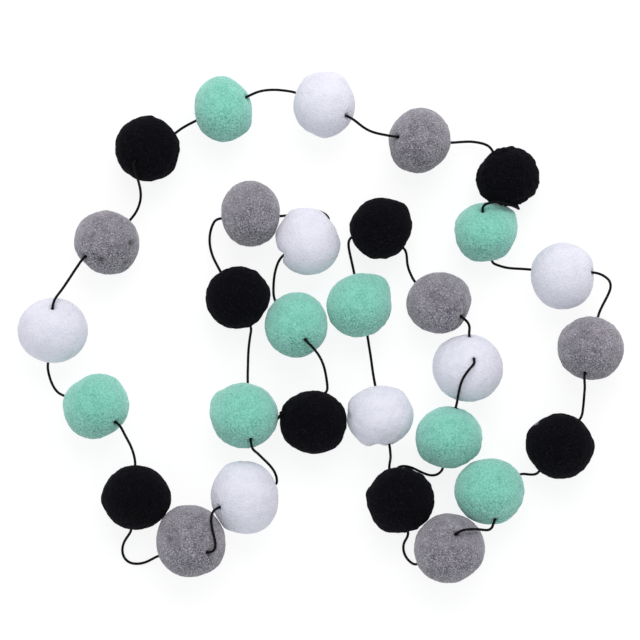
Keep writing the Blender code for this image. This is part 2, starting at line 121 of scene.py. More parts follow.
Ball = namedtuple("Ball", "number wool x y wide deep tall entry exit")
BALL_ROWS = (
    ("white", 27.0, -40.2, 30.5, 27.3, 28.0, (-72, 5), (98, -20)),
    ("mint", 17.5, 10.2, 29.5, 28.6, 28.4, (-74, -20), (98, -20)),
    ("black", 27.5, 45.2, 28.0, 27.9, 27.1, (197, -33), (-42, -28)),
    ("grey", 54.0, 11.2, 29.2, 28.2, 27.8, (139, -20), (-33, 30)),
    ("white", 67.0, -18.5, 32.5, 30.5, 30.4, (88, 14), (54, 74)),
    ("mint", 58.4, -49.9, 30.7, 28.2, 28.6, (77, 5), (-100, -20)),
    ("black", 36.5, -78.5, 30.6, 30.4, 29.3, (100, -40), (-76, -20)),
    ("grey", 58.6, -100.4, 32.4, 31.9, 31.7, (207, -20), (68, 59)),
    ("mint", 76.8, -74.5, 31.5, 30.2, 29.7, (-81, 30), (22, -32)),
    ("black", 108.7, -54.0, 30.4, 29.7, 29.7, (232, -15), (52, -15)),
    ("grey", 122.9, -9.4, 30.4, 28.0, 29.0, (255, 31), (76, -15)),
    ("white", 110.0, 23.5, 28.5, 30.1, 28.6, (6, 14), (168, -20)),
    ("mint", 75.3, 43.4, 28.6, 27.3, 27.1, (-78, -15), (101, 39)),
    ("black", 85.2, 68.7, 29.2, 27.0, 27.3, (-72, -10), (120, -15)),
    ("grey", 45.2, 85.0, 28.5, 30.0, 28.4, (-3, -20), (173, 40)),
    ("white", 1.7, 101.3, 28.4, 30.2, 28.1, (-28, 33), (156, -20)),
    ("mint", -44.2, 99.4, 26.3, 30.1, 27.4, (26, 23), (202, -20)),
    ("black", -78.7, 81.2, 29.0, 29.8, 28.8, (30, -15), (228, 56)),
    ("grey", -97.1, 38.7, 29.0, 29.3, 28.4, (45, -20), (215, 33)),
    ("white", -121.7, -1.3, 32.2, 28.8, 29.8, (87, 43), (260, -20)),
    ("mint", -102.1, -35.8, 30.0, 29.5, 28.9, (163, -20), (-37, 31)),
    ("black", -83.6, -77.3, 30.4, 29.7, 29.7, (93, -15), (260, -20)),
    ("grey", -58.9, -97.3, 31.5, 32.9, 31.3, (206, -20), (-26, 52)),
    ("white", -34.6, -77.1, 30.6, 33.0, 30.9, (201, 34), (21, -20)),
    ("mint", -34.8, -40.0, 31.7, 30.2, 30.0, (-74, 39), (83, -20)),
    ("black", -37.6, 13.6, 29.8, 28.3, 28.1, (-66, -15), (124, -15)),
    ("grey", -31.8, 51.8, 26.6, 30.1, 27.5, (189, -15), (-5, -15)),
    ("white", -5.6, 39.0, 28.9, 30.7, 28.9, (46, -35), (208, -10)),
    ("mint", -11.0, 1.1, 28.5, 29.2, 28.3, (132, -20), (-57, 53)),
    ("black", -3.2, -43.0, 30.5, 28.3, 28.5, (68, -15), (163, 18)),
)
BALLS = tuple(Ball(number, *row) for number, row in enumerate(BALL_ROWS, 1))

# Swellings and dents as (bearing, out, spread), a few with how many times taller they are
LUMPS = {
    1: (
        (50, 1.0, 18), (150, 0.8, 16), (176, -0.8, 12), (243, 1.2, 18), (266, -1.7, 10, 1.6),
        (288, 0.5, 14),
    ),
    2: ((45, 2.3, 22), (118, -0.9, 25)),
    3: ((43, 1.2, 17), (140, -0.8, 26), (335, -0.8, 16)),
    4: ((35, 0.5, 18), (338, -1.1, 22)),
    5: ((145, 0.6, 22), (205, -0.3, 16)),
    6: ((217, 1.1, 22), (335, 0.7, 18)),
    7: ((35, 0.4, 18), (168, 0.9, 14), (236, 0.9, 16)),
    8: ((135, -0.5, 14), (308, -0.8, 24)),
    10: ((0, 0.7, 12), (155, 0.8, 16), (210, -0.7, 22)),
    11: ((150, 0.5, 16), (300, 0.5, 16)),
    12: ((40, 0.7, 24), (115, -0.4, 22), (315, 0.8, 28)),
    13: ((38, 1.6, 20), (150, 0.4, 16), (190, -0.6, 16), (240, 0.6, 18), (338, -1.1, 22)),
    14: ((20, -0.7, 8), (145, -1.4, 24), (217, 0.6, 12), (250, -0.6, 12), (310, -0.4, 14)),
    15: ((140, -0.4, 18), (225, 1.1, 22), (300, -0.9, 26)),
    16: ((60, 1.0, 20), (125, 0.6, 16), (248, -0.6, 16), (270, 0.3, 12)),
    17: ((58, -1.0, 24), (155, 0.5, 20), (245, -0.4, 16), (325, 1.1, 20)),
    18: ((45, -0.6, 18), (90, 0.5, 14), (240, -0.5, 16), (320, 0.7, 18)),
    19: ((65, -0.7, 20), (140, 0.7, 24), (225, -0.9, 22), (305, 0.7, 22)),
    21: ((58, 0.8, 16), (122, -1.2, 24), (228, 0.5, 24), (300, -0.7, 26)),
    22: ((3, 0.4, 16), (180, 0.8, 16)),
    23: ((40, -0.6, 14), (120, 0.7, 30), (285, -0.4, 18), (325, 0.5, 16)),
    24: ((118, 0.8, 18), (240, 0.8, 14), (315, 1.1, 40)),
    25: ((70, -0.8, 10), (147, 1.3, 18), (198, -0.9, 16)),
    26: ((15, 0.5, 14), (55, 0.5, 10), (115, -0.6, 16), (330, -0.9, 16)),
    27: ((310, 0.6, 18),),
    28: (
        (20, -1.2, 16), (44, -2.0, 14), (118, 1.1, 18), (165, 0.5, 16), (190, -0.7, 14),
        (206, -2.7, 9, 3.5),
    ),
    29: ((305, -0.5, 22),),
    30: ((145, 0.6, 18), (215, 0.5, 18), (315, 0.9, 20)),
}


def toward(bearing, tilt):
    """Unit vector along a bearing and a tilt."""
    turned, raised = np.radians(bearing), np.radians(tilt)
    return np.array([np.cos(raised) * np.cos(turned), np.cos(raised) * np.sin(turned), np.sin(raised)])


def unit(vectors):
    """Vectors scaled to a length of one."""
    return vectors / np.linalg.norm(vectors, axis=-1, keepdims=True)


def middle(ball):
    """A ball's middle: half its height up, less what is pressed flat."""
    return np.array([ball.x, ball.y, ball.tall / 2 - PRESSED])


def skin_reach(ball, rays):
    """Distance from a ball's middle to its skin along unit vectors.

    It is the radius of an ellipsoid, plus a slow wave that differs from ball to ball, plus
    a rounded hump or dent around the direction of each of its lumps. Wave and lumps fade
    out on the underside.
    """
    halves = np.array([ball.wide, ball.deep, ball.tall]) / 2
    reach = 1 / np.linalg.norm(rays / halves, axis=-1)
    phase = np.array(WAVE_SHIFTS) * ball.number
    uneven = WAVE * np.sin(WAVES_ROUND * rays + phase).sum(axis=-1) / 2
    for bearing, out, spread, *taller in LUMPS.get(ball.number, ()):
        level = rays / [1, 1, *(taller or [1])]
        level = level / np.linalg.norm(level, axis=-1)[..., None]
        apart = np.degrees(np.arccos(np.clip(level @ toward(bearing, 0), -1, 1)))
        uneven = uneven + out * np.exp(-((apart / spread) ** 2))
    shown = np.clip((rays[..., 2] - LUMPS_FROM) / (LUMPS_WHOLE - LUMPS_FROM), 0, 1)
    return reach + uneven * shown


def mouth(ball, aim):
    """Where the cord passes a ball's skin, for one (bearing, tilt)."""
    ray = toward(*aim)
    return middle(ball) + ray * skin_reach(ball, ray)


# The cord
# One length of thin black waxed cotton, three plies laid together, runs through all the
# balls from its knotted tail under ball 7 to its stub in ball 30. It is limp: it sags between
# the balls, lies on the table where it is long, and presses into the wool at each mouth.
CORD_WIDE = 1.2
STRAIGHT_OUT = 1.2  # the cord stays in line with its hole this far outside a mouth
STRAIGHT_IN = 1.0
BENDS_IN = 0.6
STEPS_A_GAP = 12
EVEN_STEP = 0.6
EASINGS = 14
LEAST_HEIGHT = 0.61
CORD_SIDES = 12
PLIES = 3
PLY_GROOVE = 0.07  # of the cord's radius
GROOVE_MIDDLE = 0.6  # of the groove's wave, where the cord has its stated width
PLY_TURN = 4.2  # the length in which the plies go round once
THREADS_A_PLY = 4
THREAD_TURNS = 2.5  # in a millimetre of cord
COTTON_LINT = 0.35  # the size of its lint's patches
LEVEL_OFF = (0.22, -0.26, 0.94)  # a direction that the cord never runs along
END_ROUNDING = np.array([0.55, 0.85])

STRETCHES = (
    (
        (34.0, -70.7, 0.7), (32.8, -68.9, 1.0), (32.0, -67.0, 0.7), (31.3, -64.6, 0.6),
        (31.7, -62.2, 1.0), (32.0, -60.2, 3.2), (32.0, -58.9, 7.5), (31.9, -57.9, 11.5),
        (31.7, -56.3, 14.2),
    ),
    ((24.0, -21.0, 7.5), (23.0, -13.5, 5.5), (22.0, -7.5, 7.5)),
    ((14.5, 29.0, 6.0), (13.6, 33.0, 4.8), (12.9, 36.5, 4.3), (12.8, 39.8, 4.6)),
    ((38.9, 35.4, 6.8), (39.4, 33.2, 6.5), (39.5, 30.4, 6.2), (40.0, 27.2, 6.4), (41.5, 23.6, 7.6)),
    (
        (66.2, 3.2, 21.0), (67.1, 1.9, 19.7), (67.7, 0.5, 17.6), (67.8, -0.8, 16.1),
        (67.6, -2.0, 16.2),
    ),
    (
        (69.1, -16.6, 32.0), (67.6, -18.1, 33.0), (65.7, -20.5, 32.7), (63.9, -23.6, 31.3),
        (62.8, -27.4, 28.7), (62.2, -31.3, 24.6), (62.0, -33.6, 19.5),
    ),
    (
        (55.2, -65.6, 6.5), (53.2, -67.4, 3.0), (50.2, -67.8, 1.0), (46.0, -66.2, 0.6),
        (42.0, -64.2, 0.6), (38.8, -63.4, 1.0), (36.4, -63.5, 2.2), (34.9, -64.2, 3.6),
    ),
    (
        (39.8, -95.4, 8.0), (38.5, -97.7, 4.5), (37.8, -100.7, 1.2), (38.3, -103.5, 0.6),
        (39.5, -105.8, 1.2), (41.4, -107.5, 3.2), (42.9, -108.2, 6.2),
    ),
    (
        (63.9, -91.3, 30.9), (66.2, -91.1, 29.9), (69.0, -91.1, 27.0), (72.0, -91.3, 23.8),
        (75.2, -91.9, 22.2), (77.3, -91.7, 22.4), (78.0, -90.2, 23.0),
    ),
    (
        (89.8, -67.8, 5.0), (90.8, -66.9, 4.8), (92.4, -66.7, 4.9), (94.5, -67.1, 5.2),
        (96.6, -67.3, 6.0), (98.3, -66.9, 8.0),
    ),
    (
        (119.2, -40.5, 9.6), (119.7, -37.0, 9.0), (120.0, -33.5, 10.3), (120.0, -30.0, 14.0),
        (119.9, -27.6, 19.0), (119.7, -25.0, 21.8),
    ),
    (
        (127.3, 7.2, 8.2), (129.3, 11.0, 5.6), (131.3, 14.6, 4.4), (132.6, 18.0, 5.2),
        (131.9, 21.0, 9.0), (129.7, 22.9, 13.8), (127.2, 24.2, 17.2),
    ),
    ((92.7, 26.7, 7.2), (88.4, 26.9, 5.6), (84.2, 27.4, 4.8), (80.8, 28.5, 5.8)),
    (
        (73.8, 55.4, 22.7), (75.4, 56.2, 23.2), (77.7, 56.8, 23.2), (80.4, 56.9, 22.9),
        (83.7, 56.2, 21.8), (86.8, 55.3, 19.8), (89.1, 54.5, 16.9), (90.4, 53.8, 13.6),
    ),
    (
        (77.3, 82.3, 8.8), (75.0, 83.7, 6.4), (72.0, 84.5, 4.4), (68.4, 85.0, 3.2),
        (65.0, 84.8, 3.6), (61.8, 84.5, 6.0),
    ),
    (
        (31.6, 86.7, 23.9), (29.2, 87.2, 22.9), (25.7, 88.0, 20.6), (21.6, 89.5, 18.6),
        (18.2, 91.8, 18.4), (15.4, 94.0, 20.6),
    ),
    (
        (-14.0, 107.8, 6.4), (-17.0, 108.3, 4.6), (-20.5, 108.6, 4.4), (-24.3, 108.3, 7.4),
        (-27.7, 107.4, 12.8), (-30.3, 106.2, 17.6),
    ),
    ((-59.5, 93.0, 6.8), (-61.8, 91.8, 6.0), (-64.0, 90.4, 7.2)),
    (
        (-84.5, 73.7, 26.8), (-83.9, 71.8, 26.0), (-83.1, 68.5, 23.2), (-82.4, 65.4, 17.0),
        (-82.0, 62.4, 10.4), (-82.0, 59.0, 6.8), (-83.0, 55.2, 4.9), (-84.3, 52.4, 5.3),
        (-85.6, 50.6, 7.0),
    ),
    (
        (-109.0, 29.2, 22.2), (-111.2, 26.2, 20.2), (-114.0, 22.1, 18.2), (-116.7, 18.0, 19.0),
        (-118.6, 15.2, 22.0), (-120.2, 12.8, 25.2),
    ),
    (
        (-124.5, -18.8, 6.2), (-124.0, -21.9, 4.3), (-122.9, -25.4, 3.6), (-121.2, -28.4, 4.3),
        (-119.0, -30.4, 6.5),
    ),
    (
        (-90.2, -45.3, 22.4), (-89.0, -48.0, 20.6), (-87.7, -50.8, 17.0), (-86.3, -54.0, 12.4),
        (-85.2, -57.3, 10.2), (-84.6, -59.8, 10.4),
    ),
    (
        (-86.9, -93.8, 7.6), (-88.6, -96.2, 4.4), (-90.3, -99.2, 1.8), (-90.8, -102.6, 0.7),
        (-89.8, -105.7, 0.6), (-87.4, -107.8, 0.6), (-84.2, -108.3, 0.6), (-80.8, -107.8, 0.9),
        (-77.8, -106.4, 2.8), (-75.5, -105.0, 6.0),
    ),
    (
        (-48.1, -101.0, 29.0), (-47.2, -99.4, 29.2), (-47.4, -97.0, 28.9), (-48.3, -93.4, 28.4),
        (-49.1, -90.0, 27.6), (-49.5, -86.8, 26.4), (-49.2, -84.2, 25.5), (-48.4, -82.7, 25.0),
    ),
    (
        (-19.8, -70.6, 7.6), (-20.1, -67.8, 5.4), (-21.5, -65.0, 4.8), (-23.8, -62.2, 6.4),
        (-26.5, -59.4, 11.5), (-28.6, -57.0, 18.0), (-30.4, -55.4, 23.0), (-31.2, -53.9, 24.9),
    ),
    (
        (-33.2, -21.0, 6.4), (-33.1, -16.6, 4.4), (-33.0, -12.0, 3.8), (-32.6, -7.5, 4.6),
        (-32.0, -3.4, 7.0),
    ),
    (
        (-47.2, 28.5, 8.4), (-49.0, 32.0, 5.0), (-50.3, 36.0, 2.4), (-50.8, 40.2, 1.6),
        (-50.3, 44.0, 2.4), (-49.0, 47.4, 5.4), (-47.5, 49.2, 8.8),
    ),
    (
        (-16.0, 51.0, 8.4), (-13.6, 51.3, 5.0), (-11.0, 52.0, 2.0), (-7.5, 52.5, 0.7),
        (-4.0, 53.2, 0.6), (-0.6, 53.2, 0.6), (2.0, 52.1, 1.0), (3.7, 50.4, 2.2),
        (4.0, 48.6, 4.4),
    ),
    (
        (-18.7, 30.8, 11.6), (-20.0, 27.8, 8.4), (-21.0, 24.0, 5.6), (-21.4, 20.2, 4.4),
        (-21.5, 16.6, 4.7), (-21.3, 14.0, 6.4),
    ),
    (
        (-4.7, -7.6, 26.8), (-3.2, -9.3, 25.2), (-1.0, -12.2, 20.4), (0.8, -15.6, 14.8),
        (2.0, -19.3, 10.0), (2.7, -23.0, 7.6), (3.1, -26.0, 7.4), (3.3, -28.5, 8.8),
    ),
    ((-18.6, -40.0, 20.4), (-19.1, -41.5, 21.2)),
)


def cord_stops():
    """Every point that the cord passes: four in line with each hole, and the chosen ones between."""
    stops = [np.array(point) for point in STRETCHES[0]]
    for ball in BALLS:
        entry, leave = mouth(ball, ball.entry), mouth(ball, ball.exit)
        inward = unit(leave - entry)
        stops += [entry - inward * STRAIGHT_OUT, entry + inward * STRAIGHT_IN]
        stops += [leave - inward * STRAIGHT_IN, leave + inward * STRAIGHT_OUT]
        stops += [np.array(point) for point in STRETCHES[ball.number]]
    return np.array(stops)


def smooth_curve(stops):
    """A centripetal Catmull-Rom curve through the stops, sampled evenly in each gap.

    Each stop has a time, and the time of a gap is the square root of its length. A point
    between two stops blends the two parabolas through the three stops on either side.
    """
    ends = np.vstack([2 * stops[0] - stops[1], stops, 2 * stops[-1] - stops[-2]])
    gaps = np.sqrt(np.linalg.norm(np.diff(ends, axis=0), axis=1))
    times = np.concatenate([[0], np.cumsum(gaps)])
    a, b, c, d = (ends[start : len(ends) - 3 + start, None] for start in range(4))
    ta, tb, tc, td = (times[start : len(ends) - 3 + start, None, None] for start in range(4))
    now = tb + (tc - tb) * np.linspace(0, 1, STEPS_A_GAP + 1)[None, 1:, None]
    ab = a + (b - a) * (now - ta) / (tb - ta)
    bc = b + (c - b) * (now - tb) / (tc - tb)
    cd = c + (d - c) * (now - tc) / (td - tc)
    abc = ab + (bc - ab) * (now - ta) / (tc - ta)
    bcd = bc + (cd - bc) * (now - tb) / (td - tb)
    between = abc + (bcd - abc) * (now - tb) / (tc - tb)
    return np.vstack([stops[:1], between.reshape(-1, 3)])


def run_along(points):
    """How far along its line each point lies."""
    return np.concatenate([[0], np.cumsum(np.linalg.norm(np.diff(points, axis=0), axis=1))])


def inside_holes(points):
    """Whether each point lies within a ball, deeper than its dimple lets the cord bend."""
    held = np.zeros(len(points), bool)
    for ball in BALLS:
        out = points - middle(ball)
        reach = np.linalg.norm(out, axis=1)
        held |= reach < skin_reach(ball, out / reach[:, None]) - BENDS_IN
    return held


def eased(curve):
    """The curve at even steps with its sharp turns eased, and none of it lower than it can lie.

    Each point outside the balls moves half way to the mean of its neighbours, round by round.
    """
    run = run_along(curve)
    even = np.linspace(0, run[-1], int(run[-1] / EVEN_STEP) + 1)
    points = np.column_stack([np.interp(even, run, curve[:, axis]) for axis in range(3)])
    free = ~inside_holes(points)[1:-1, None]
    for _ in range(EASINGS):
        points[1:-1] += (points[:-2] + points[2:] - 2 * points[1:-1]) / 4 * free
    points[:, 2] = np.maximum(points[:, 2], LEAST_HEIGHT)
    return points


def mesh_of_grid(name, points, run=None, rows_close=False):
    """A mesh through a grid of points in millimetres, whose columns close on themselves.

    Each cell is a face. The rows close too, or else the first and last row get a cap. With
    run, the UV map holds the run along the rows and the share of the way round.
    """
    rows, columns = points.shape[:2]
    index = np.arange(rows * columns).reshape(rows, columns)
    ahead = np.roll(index, -1, axis=0)
    faces = np.stack([index, ahead, np.roll(ahead, -1, axis=1), np.roll(index, -1, axis=1)], axis=-1)
    faces = (faces if rows_close else faces[:-1]).reshape(-1, 4)
    caps = [] if rows_close else [index[0].tolist(), index[-1, ::-1].tolist()]
    mesh = bpy.data.meshes.new(name)
    mesh.from_pydata((points * MM).reshape(-1, 3), [], faces.tolist() + caps)
    if run is not None:
        row, column = np.divmod(faces, columns)
        last = (column == 0) & (np.arange(4) > 1)
        across = np.where(last, 1.0, column / columns)
        cells = np.stack([run[row], across], axis=-1).reshape(-1, 2)
        mapped = np.zeros((len(mesh.loops), 2))
        mapped[: len(cells)] = cells
        mesh.uv_layers.new(name="run").data.foreach_set("uv", mapped.ravel())
    mesh.shade_smooth()
    return mesh


def tube_rings(line, radii, level, closed=False):
    """Rings of points round a line: each ring lies square to the line's direction there.

    A ring starts from the way that is square to both the line and `level`. That way turns
    about the line as the line bends, and the sum of these turns is taken off again, so that
    the plies keep their even lay. radii gives each ring's radius as a function of the angle.
    """
    if closed:
        ahead = np.roll(line, -1, axis=0) - np.roll(line, 1, axis=0)
    else:
        ahead = np.gradient(line, axis=0)
    ahead = unit(ahead)
    side = unit(np.cross(ahead, level))
    over = np.cross(ahead, side)
    turn = np.arctan2((side[1:] * over[:-1]).sum(axis=1), (side[1:] * side[:-1]).sum(axis=1))
    undone = np.zeros(len(line)) if closed else np.concatenate([[0], np.cumsum(turn)])
    angle = np.linspace(0, 2 * np.pi, CORD_SIDES, endpoint=False)
    around = angle - undone[:, None]
    reach = radii(angle)[..., None]
    spokes = np.cos(around)[..., None] * side[:, None] + np.sin(around)[..., None] * over[:, None]
    return (line[:, None] + spokes * reach)[:, ::-1]


class Shade:
    """A socket among a material's nodes. Arithmetic on it adds Math nodes."""

    def __init__(self, tree, socket=None):
        self.tree = tree
        self.socket = socket

    def node(self, kind, settings, sockets, out=None):
        """Adds a node: its settings first, then the values or links of its sockets."""
        made = self.tree.nodes.new(kind)
        for name, value in settings.items():
            setattr(made, name, value)
        for name, value in sockets.items():
            if isinstance(name, int):
                socket = made.inputs[name]
            else:
                socket = next(each for each in made.inputs if each.enabled and each.name == name)
            if isinstance(value, Shade):
                self.tree.links.new(value.socket, socket)
            else:
                socket.default_value = value
        outputs = [each for each in made.outputs if each.enabled and out in (None, each.name)]
        return Shade(self.tree, outputs[0])

    def maths(self, operation, first, second, clamp=False):
        settings = {"operation": operation, "use_clamp": clamp}
        return self.node("ShaderNodeMath", settings, {0: first, 1: second})

    def __add__(self, other):
        return self.maths("ADD", self, other)

    def __radd__(self, other):
        return self.maths("ADD", other, self)

    def __sub__(self, other):
        return self.maths("SUBTRACT", self, other)

    def __rsub__(self, other):
        return self.maths("SUBTRACT", other, self)

    def __mul__(self, other):
        return self.maths("MULTIPLY", self, other)

    def __rmul__(self, other):
        return self.maths("MULTIPLY", other, self)

    def sine(self):
        return self.maths("SINE", self, 0)

    def held(self):
        """The value kept between 0 and 1."""
        return self.maths("ADD", self, 0, clamp=True)

    def blend(self, none, whole):
        """From one colour to another as the value goes from 0 to 1."""
        return self.node("ShaderNodeMix", {"data_type": "RGBA"}, {"Factor": self, "A": none, "B": whole})

    def patches(self, size, detail=2.0, rough=0.5, kind="FBM"):
        """Soft random patches of a size in millimetres, from 0 to 1 around a half."""
        return self.node(
            "ShaderNodeTexNoise",
            {"noise_type": kind},
            {"Vector": self, "Scale": 1 / (size * MM), "Detail": detail, "Roughness": rough},
        )


def linear(*channels):
    """An sRGB colour from 0 to 255 as linear values with an alpha of one."""
    share = np.array(channels) / 255
    return (*np.where(share <= 0.04045, share / 12.92, ((share + 0.055) / 1.055) ** 2.4).tolist(), 1.0)


def new_finish(name, settings):
    """A material with values for its shader's sockets. Returns it, its shader and its place.

    The place is the object's own coordinates, as a Shade.
    """
    finish = bpy.data.materials.new(name)
    finish.use_nodes = True
    tree = finish.node_tree
    shader = tree.nodes["Principled BSDF"]
    for socket, value in settings.items():
        shader.inputs[socket].default_value = value
    place = Shade(tree).node("ShaderNodeTexCoord", {}, {}, out="Object")
    return finish, shader, place


def drive(shader, socket, shade):
    """Links a shade to one of the shader's sockets."""
    shade.tree.links.new(shade.socket, shader.inputs[socket])


def bump(height, strength, depth):
    """A surface normal raised by a height from 0 to 1, at most a depth in millimetres."""
    sockets = {"Strength": strength, "Distance": depth * MM, "Height": height}
    return height.node("ShaderNodeBump", {}, sockets)


def new_piece(name, mesh, finishes):
    """An object that rides on the garland, with its finishes."""
    for finish in finishes:
        mesh.materials.append(finish)
    piece = bpy.data.objects.new(name, mesh)
    scene.collection.objects.link(piece)
    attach(piece, "root")
    return piece


def waxed_cotton():
    """Black cotton with a little wax: dark plies, fine lint along them and a dull shine."""
    finish, shader, place = new_finish("waxed_cotton", {"Specular IOR Level": 0.12})
    run = place.node("ShaderNodeUVMap", {"uv_map": "run"}, {})
    along = run.node("ShaderNodeSeparateXYZ", {}, {"Vector": run}, out="X")
    across = run.node("ShaderNodeSeparateXYZ", {}, {"Vector": run}, out="Y")
    lay = across * (2 * np.pi * THREADS_A_PLY * PLIES) - along * (2 * np.pi * THREAD_TURNS)
    threads = lay.sine() * 0.5 + 0.5
    lint = place.patches(COTTON_LINT, detail=3.0)
    drive(shader, "Base Color", (lint * 0.7 + threads * 0.3).blend(linear(3, 3, 4), linear(14, 13, 17)))
    drive(shader, "Roughness", 0.6 + lint * 0.3)
    drive(shader, "Normal", bump(threads * 0.5 + lint * 0.5, 0.5, 0.06))
    return finish


cord_line = eased(smooth_curve(cord_stops()))[::-1]
cord_run = run_along(cord_line)
end_rounding = np.ones(len(cord_line))
end_rounding[:2] = END_ROUNDING
end_rounding[-2:] = END_ROUNDING[::-1]


def cord_radii(angle):
    """The cord's radius round it and along it: one shallow groove between each two plies, winding."""
    lay = PLIES * angle - 2 * np.pi * PLIES * cord_run[:, None] / PLY_TURN
    grooves = 1 + PLY_GROOVE * (np.abs(np.cos(lay / 2)) - GROOVE_MIDDLE)
    return CORD_WIDE / 2 * grooves * end_rounding[:, None]


cord_mesh = mesh_of_grid("threading_cord", tube_rings(cord_line, cord_radii, LEVEL_OFF), cord_run)
cotton = waxed_cotton()
cord = new_piece("threading_cord", cord_mesh, [cotton])
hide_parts("cord")

# The knots
# The cord is tied in a single overhand knot near each end: one under ball 7 keeps its tail
# from fraying, and one is pulled into ball 30's mouth, so that the last ball can't slip off.
KNOT_PROUD = 0.8
KNOT_HALF = 0.42  # scales the trefoil, whose widest reach is 3
KNOT_CORD = 0.86  # the cord's width where the knot squeezes it
KNOT_FLAT = 0.62
KNOT_LIFT = 0.25  # of the tail's knot, which is thicker than the cord that lies down
KNOT_STEPS = 72


def knot_rings(place, along):
    """A pulled overhand knot: a trefoil line, squeezed along its axis, as a tube.

    The line is (sin t + 2 sin 2t, cos t - 2 cos 2t, -sin 3t) for t once round.
    """
    t = np.linspace(0, 2 * np.pi, KNOT_STEPS, endpoint=False)
    wide = np.sin(t) + 2 * np.sin(2 * t)
    deep = np.cos(t) - 2 * np.cos(2 * t)
    trefoil = np.column_stack([wide, deep, -np.sin(3 * t)])
    trefoil = trefoil * np.array([KNOT_FLAT, KNOT_FLAT, 1.0]) * KNOT_HALF
    radii = np.full((KNOT_STEPS, CORD_SIDES), KNOT_CORD / 2)
    rings = tube_rings(trefoil, lambda angle: radii, (0, 0, 1), closed=True)
    along = unit(along)
    side = unit(np.cross(along, LEVEL_OFF))
    return place + rings @ np.stack([side, np.cross(along, side), along])


def tie_knot(name, place, along):
    """One of the two knots as a piece of cord, in the cord's cotton."""
    rings = knot_rings(place, along)
    run = np.arange(KNOT_STEPS) * KNOT_CORD / 2
    return new_piece(name, mesh_of_grid(name, rings, run, rows_close=True), [cotton])


tail = [np.array(point) for point in STRETCHES[0][:3]]
last_ball = BALLS[-1]
last_mouth = mouth(last_ball, last_ball.exit)
last_way = unit(last_mouth - mouth(last_ball, last_ball.entry))
knots = [
    tie_knot("tail_knot", tail[1] + np.array([0, 0, KNOT_LIFT]), tail[2] - tail[0]),
    tie_knot("stop_knot", last_mouth + last_way * KNOT_PROUD, last_way),
]
cord_line[0] * MM
cord_line * MM

# The felt balls
# Thirty balls of wet-felted wool in white, mint, heathered grey and black. The wool's skin is
# matt and finely grained, a little uneven to the touch, and closes round the cord at each
# mouth in a dimple with short puckers.
SKIN_ROWS = 76
COLUMNS = 100
HOLE_ROWS = 6
HOLE_WIDE = 1.3
RIM_WIDE = 1.6
ROW_CROWDING = 0.6  # of the rows towards the mouths
DIMPLE_DEEP = 1.15
DIMPLE_HALF = 1.45
DRAWN_IN = 0.3  # the wide shallow hollow round a dimple
DRAWN_HALF = 4.0
HOLE_START = 1.5  # how far in the wool meets the cord
PUCKERS = 7
PUCKER_DEEP = 0.13
PUCKER_AT = 2.2
PUCKER_HALF = 1.2
GRAIN_WAVES = 32
GRAIN_SIZES = (2.2, 6.5)  # the shortest and longest unevenness of a felted skin
# Painted shade of grazing light: the grain is drawn stronger, and so darker, from a ball's middle towards
# the viewer's side, away from the light.
GRAZING_SHADE_GROWTH = 1.4  # of the painted shade, towards the viewer
CLOUD_SIZE = 5.5
CURL_SIZE = 1.6
CURL_LEVEL = 0.6  # of the curls' pattern, above which it lightens the wool
FLECK_SIZE = 0.7
FLECK_LEVEL = 0.68  # of the flecks' pattern, above which a fleck shows
FLECK_EDGE = 8  # how sharply it does
# Painted shade: dimples, pits and the holes' walls are drawn part of the way to the wool's deep colour,
# for the shade in these recesses.
PAINTED_HOLLOW_SHADE = 0.9  # of the way to the wool's deep colour
PIT_SHADE = 0.9  # of the painted hollow shade, for a pit a millimetre deep
UNEVEN_BALLS = {14: 2.0, 7: 1.3, 1: 1.5}  # felted less evenly than the rest

# Small hollows that show on some balls, as (bearing, tilt, deep, wide), each also drawn darker as painted
# shade
PITS = {
    1: ((180, 20, 0.9, 3.0), (268, 18, 0.5, 2.6)),
    6: ((233, 34, 0.4, 4.0),),
    8: ((229, 36, 0.4, 5.0),),
    13: ((236, 40, 0.4, 2.8), (256, 44, 0.5, 2.8), (276, 40, 0.4, 2.8)),
    15: ((257, 52, 0.5, 5.0), (280, 46, 0.4, 3.0)),
    19: ((-3, 39, 1.4, 2.8), (256, 54, 1.3, 3.4), (-47, 28, 1.0, 3.6)),
    23: ((171, 54, 0.8, 3.4), (266, 50, 0.6, 6.0)),
    27: ((268, 42, 0.5, 5.0), (300, 36, 0.5, 3.0)),
}

# A wool's dark, middle and light colours; the size of its grain, how strong that is and how
# much stronger, and so darker, it is drawn on the viewer's side, away from the light, as
# painted shade; how much its clouds, curling fibres and flecks show; its sheen's weight and
# tint; and how deep its unevenness and its fine relief are.
Wool = namedtuple("Wool", "deep body high patch grain coarser cloud fibre fleck sheen tint uneven relief")
WOOLS = {
    "white": Wool(
        (188, 191, 204), (229, 228, 239), (240, 239, 248), 0.9, 0.4, 0.6, 0.3, 0.3, 0.0,
        0.13, (1, 1, 1), 0.013, 0.7,
    ),
    "mint": Wool(
        (68, 146, 124), (131, 208, 186), (168, 230, 213), 0.85, 1.1, 1.5, 0.3, 0.6, 0.1,
        0.85, (0.75, 1, 1), 0.02, 1.0,
    ),
    "grey": Wool(
        (54, 50, 56), (138, 133, 141), (196, 191, 201), 0.7, 1.5, 1.4, 0.5, 0.7, 0.4,
        0.56, (0.95, 0.94, 1), 0.018, 1.0,
    ),
    "black": Wool(
        (4, 4, 6), (11, 10, 14), (38, 37, 46), 0.8, 1.4, 0.6, 0.3, 0.9, 0.0,
        0.015, (0.75, 0.8, 1), 0.028, 1.0,
    ),
}


